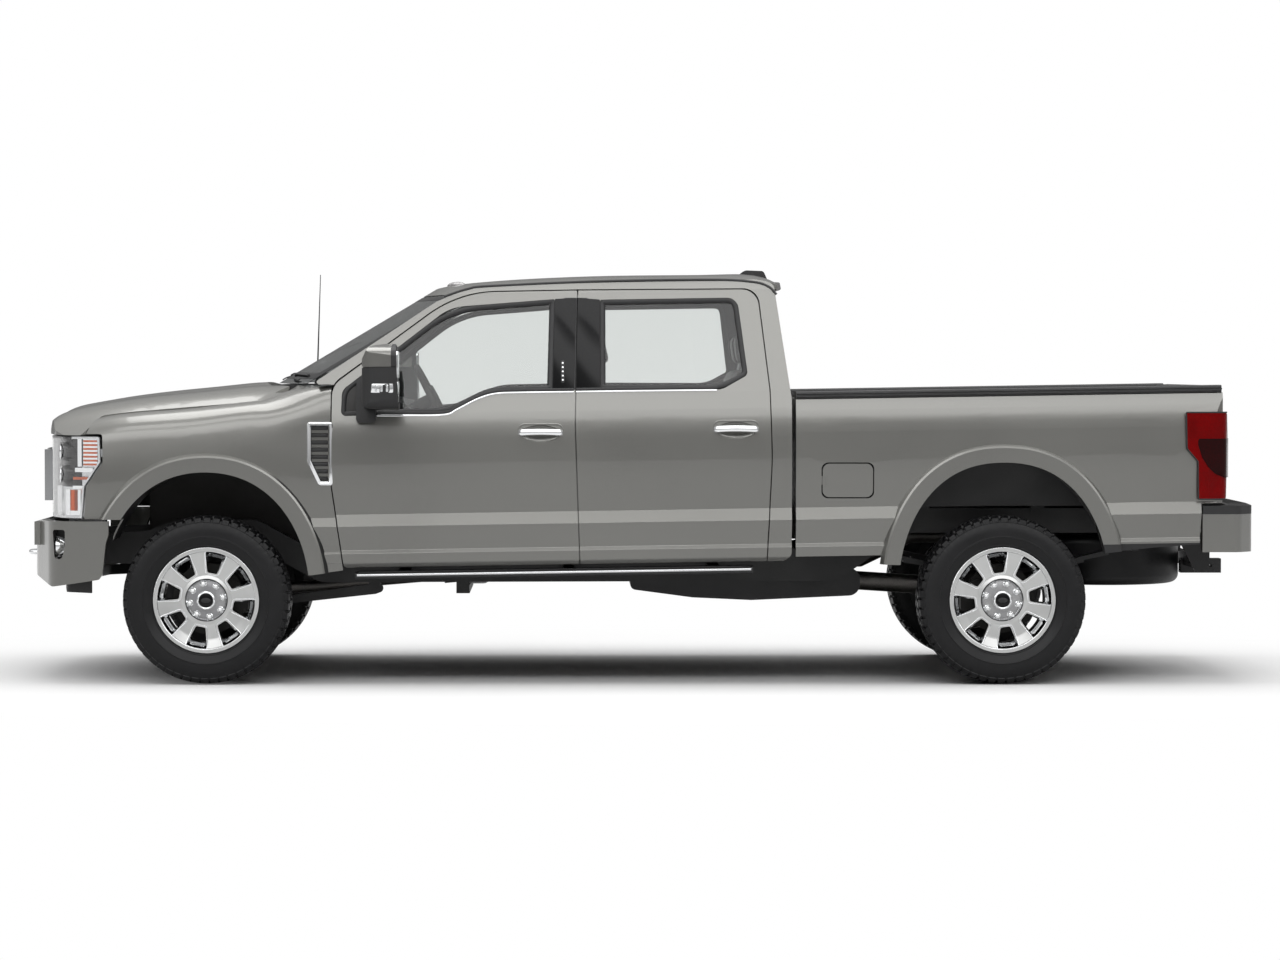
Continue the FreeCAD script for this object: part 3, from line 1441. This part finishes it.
def make_dashboard():
    dash = prism_xz(
        [(1455 - seat_gap, 1180, 20), (1455 - seat_gap, 1440, 20), (1330, 1462, 60), (1180, 1430, 60), (1140, 1330, 40), (1230, 1130, 60), (1330, 1100, 40)],
        -775,
        775,
    )
    console = prism_xz([(1240, 1300, 40), (600, 1130, 60), (200, 1130, 60), (200, raked(200, 880) + seat_gap), (1240, raked(1240, 880) + seat_gap)], -132, 132)
    keep("dashboard", fused([dash, console]))


def make_steering_wheel():
    """Rim, three spokes, hub and column, tilted towards the driver."""
    wheel = Part.makeTorus(185, 16)
    for turn in (88, -88, 178):
        a = math.radians(turn)
        along = V(math.cos(a), math.sin(a), 0)
        wheel = wheel.fuse(Part.makeCylinder(13, 150, along * 35, along))
    hub = [(0, -30, 0), (68, -30, 10), (68, 12, 10), (34, 12, 0), (34, 185, 0), (0, 185, 0)]
    wheel = wheel.fuse(turned(hub, (0, 0, 0), V(0, 0, -1)))
    wheel.Placement = FreeCAD.Placement(V(1062, 385, 1452), FreeCAD.Rotation(V(0, 1, 0), -63))
    keep("steering_wheel", wheel.cut(nodes["dashboard"]))


def head_rest(x, y, half_width):
    pad = prism_xz([(x - 290, 1640, 30), (x - 268, 1780, 40), (x - 350, 1790, 40), (x - 382, 1640, 30)], y - half_width, y + half_width)
    post = prism_xz([(x - 318, 1580), (x - 318, 1660), (x - 338, 1660), (x - 338, 1580)], y - 60, y + 60)
    return fused([pad, post])


def seat(x, y, half_width, feet, rests):
    """Plain seat: cushion, back, pedestals (y ranges in feet) and head restraints (y centres in rests)."""
    cushion = prism_xz([(x + 260, 1090, 50), (x + 240, 960, 30), (x - 220, 930, 40), (x - 260, 1040, 40), (x - 180, 1062, 40)], y - half_width, y + half_width)
    back = prism_xz([(x - 190, 1040, 10), (x - 120, 1090, 40), (x - 260, 1600, 60), (x - 360, 1600, 60), (x - 290, 1000, 40)], y - half_width, y + half_width)
    legs = []
    for y0, y1 in feet:
        low = [(x - 200, raked(x - 200, floor_z) + seat_gap), (x + 200, raked(x + 200, floor_z) + seat_gap)]
        legs.append(prism_xz(low + [(x + 200, 970), (x - 200, 970)], y0, y1))
    return fused([cushion, back] + legs + [head_rest(x, r, 125) for r in rests])


def make_seats():
    front = seat(520, 400, 235, [(235, 570)], [400])
    bench = seat(-262, 0, 640, [(-590, -235), (235, 590)], [-430, 0, 430])
    keep("seats", Part.makeCompound([front, mirrored(front), bench]))


def make_mirrors():
    """Tall towing mirrors on two arms, with the glass facing back."""
    head = prism_xy([(1385, 1135, 40), (1385, 1325, 50), (1200, 1335, 20), (1200, 1115, 20), (1300, 1085, 60)], 1390, 1760)
    side_view = prism_xz([(1384, 1412, 36), (1392, 1640, 60), (1352, 1724, 60), (1214, 1742, 26), (1200, 1399, 16)], 1000, 1400)
    front_view = prism_yz([(1090, 1398, 40), (1330, 1412, 50), (1336, 1716, 60), (1092, 1738, 40)], 1100, 1500, 0)
    head = head.common(side_view).common(front_view)
    groove = prism_xz([(1100, 1618), (1500, 1612), (1500, 1618), (1100, 1624)], 1000, 1400)
    core = prism_xy([(1379, 1141, 40), (1379, 1319, 50), (1150, 1329, 20), (1150, 1121, 20), (1300, 1091, 60)], 1300, 1800)
    head = head.cut(groove.cut(core))
    head = head.cut(box(1195, 1212, 1135, 1315, 1560, 1700)).cut(box(1195, 1212, 1135, 1315, 1430, 1548))
    arms = [
        prism_xy([(1420, 900, 0), (1340, 900, 0), (1300, 1130, 0), (1350, 1130, 0)], z, z + 36)
        for z in (1412, 1520)
    ]
    sail = side_layer(-6, 0, 1340, 1500).common(prism_xz([(1490, 1388, 10), (1490, 1500, 20), (1400, 1590, 20), (1340, 1590, 10), (1340, 1388, 10)], 500, 1100))
    base = side_layer(-40, -seat_gap, 1320, 1440).common(prism_xz([(1430, 1336, 20), (1430, 1570, 30), (1330, 1570, 30), (1330, 1336, 20)], 500, 1200))
    mirror = fused([head] + arms + [base])
    mirror = mirror.cut(side_layer(seat_gap - 0.6, 300, 1100, 1700))
    keep("mirror_left", mirror)
    keep("mirror_right", mirrored(mirror))


def make_roof_lamps():
    """Five marker lamps along the front of the roof, and the high brake lamp and aerial fin at the rear."""
    lamps = []
    for y, x, z in ((0, 960, 2050), (170, 952, 2049), (340, 930, 2047), (-170, 952, 2049), (-340, 930, 2047)):
        lamp = Part.makeSphere(26, V(0, 0, 0))
        m = FreeCAD.Matrix()
        m.scale(1.5, 1.1, 0.7)
        lamp = lamp.transformGeometry(m)
        lamp.translate(V(x, y, z))
        lamps.append(lamp)
    fin = prism_xz([(-520, 2080, 0), (-590, 2134, 40), (-690, 2130, 20), (-712, 2080, 0)], -34, 34)
    pieces = [p.cut(nodes["roof_panel"]) for p in lamps + [fin]]
    pieces = [max(p.Solids, key=lambda s: s.CenterOfMass.z) for p in pieces]
    brake = prism_xz([(-660, 2072), (-768, 2066, 8), (-776, 2026, 10), (-660, 2006)], -175, 175)
    for name in ("roof_panel", "cab_back", "cab_sides"):
        brake = brake.cut(nodes[name])
    pieces.append(min(brake.Solids, key=lambda s: s.CenterOfMass.x))
    keep("roof_lamps", Part.makeCompound(pieces))


def make_antenna():
    """Whip on a rubber foot that follows the fender's top."""
    foot_x, foot_y = 1748.0, -765.0
    foot = turned([(0, 0, 0), (15, 0, 0), (15, 44, 6), (7, 70, 6), (0, 70, 0)], (0, 0, 0), V(0, 0, 1))
    foot.translate(V(foot_x, foot_y, 1490))
    ground = nodes["front_fenders"].copy()
    ground.translate(V(0, 0, seat_gap))
    foot = max(foot.cut(ground).Solids, key=lambda s: s.CenterOfMass.z)
    base = V(foot_x, foot_y, 1540)
    top = V(foot_x - 20, foot_y, 2130)
    keep("antenna", fused([foot, Part.makeCone(5, 2, (top - base).Length, base, top - base)]))


def make_radiator():
    core = box(2905, 2950, -560, 560, 745 + seat_gap, 1260)
    rails_x = box(2880, 2960 - seat_gap, -600, 600, 1225, 1262)
    keep("radiator", fused([core, rails_x]))


def build():
    make_doors()
    make_cab()
    make_roof()
    make_fenders()
    make_hood()
    make_grille()
    make_headlamps()
    make_front_bumper()
    make_tow_hooks()
    make_frame()
    make_bed()
    make_tail_lamps()
    make_fuel_door()
    make_tailgate()
    make_rear_bumper()
    make_hitch()
    make_wheels()
    make_front_axle()
    make_knuckles()
    make_tie_rod()
    make_rear_axle()
    make_leaf_springs()
    make_powertrain()
    make_exhaust()
    make_fuel_tank()
    make_spare()
    make_running_boards()
    make_dashboard()
    make_steering_wheel()
    make_seats()
    make_mirrors()
    make_roof_lamps()
    make_antenna()
    make_radiator()


def export():
    os.makedirs("parts", exist_ok=True)
    for name, shape in nodes.items():
        solids = shape.Solids
        out = solids[0] if len(solids) == 1 else Part.makeCompound(solids)
        out.exportStep(f"parts/{name}.step")
        print(name, len(solids), "valid" if out.isValid() else "INVALID", round(out.Volume / 1e6, 2), "litres")


build()
export()
